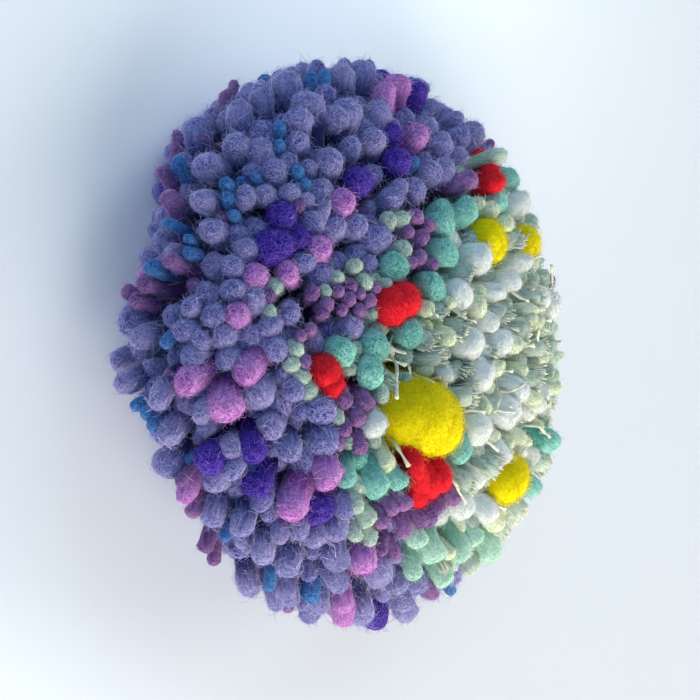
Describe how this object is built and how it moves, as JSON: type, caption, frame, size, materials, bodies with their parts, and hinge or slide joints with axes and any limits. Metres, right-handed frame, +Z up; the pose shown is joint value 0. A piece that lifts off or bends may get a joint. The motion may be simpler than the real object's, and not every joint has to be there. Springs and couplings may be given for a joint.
{
  "type": "yarn pom pom",
  "caption": "Big flat-backed pom pom of cut yarn for a wall: blue-violet wool, a sea-green and white patch on its right, and thick yellow and red felted ends.",
  "frame": {"origin": "middle of the flat back, where the yarn is tied and where it is held to the wall", "axes": "+X to the right along the wall, +Y into the wall, +Z up; the front of the pom pom faces -Y"},
  "size_m": [0.1571, 0.058, 0.1576],
  "materials": {
    "periwinkle_wool": "loose wool, matt and fuzzy",
    "sea_green_wool": "wool and cotton yarn, matt",
    "yellow_felt": "felted wool, matt",
    "red_felt": "felted wool, matt"
  },
  "bodies": {
    "root": {"periwinkle_bundle": "periwinkle_wool", "sea_green_patch": "sea_green_wool", "yellow_end_1": "yellow_felt", "yellow_end_2": "yellow_felt", "yellow_end_3": "yellow_felt", "yellow_end_4": "yellow_felt", "red_end_1": "red_felt", "red_end_2": "red_felt", "red_end_3": "red_felt", "red_end_4": "red_felt"}
  },
  "joints": []
}
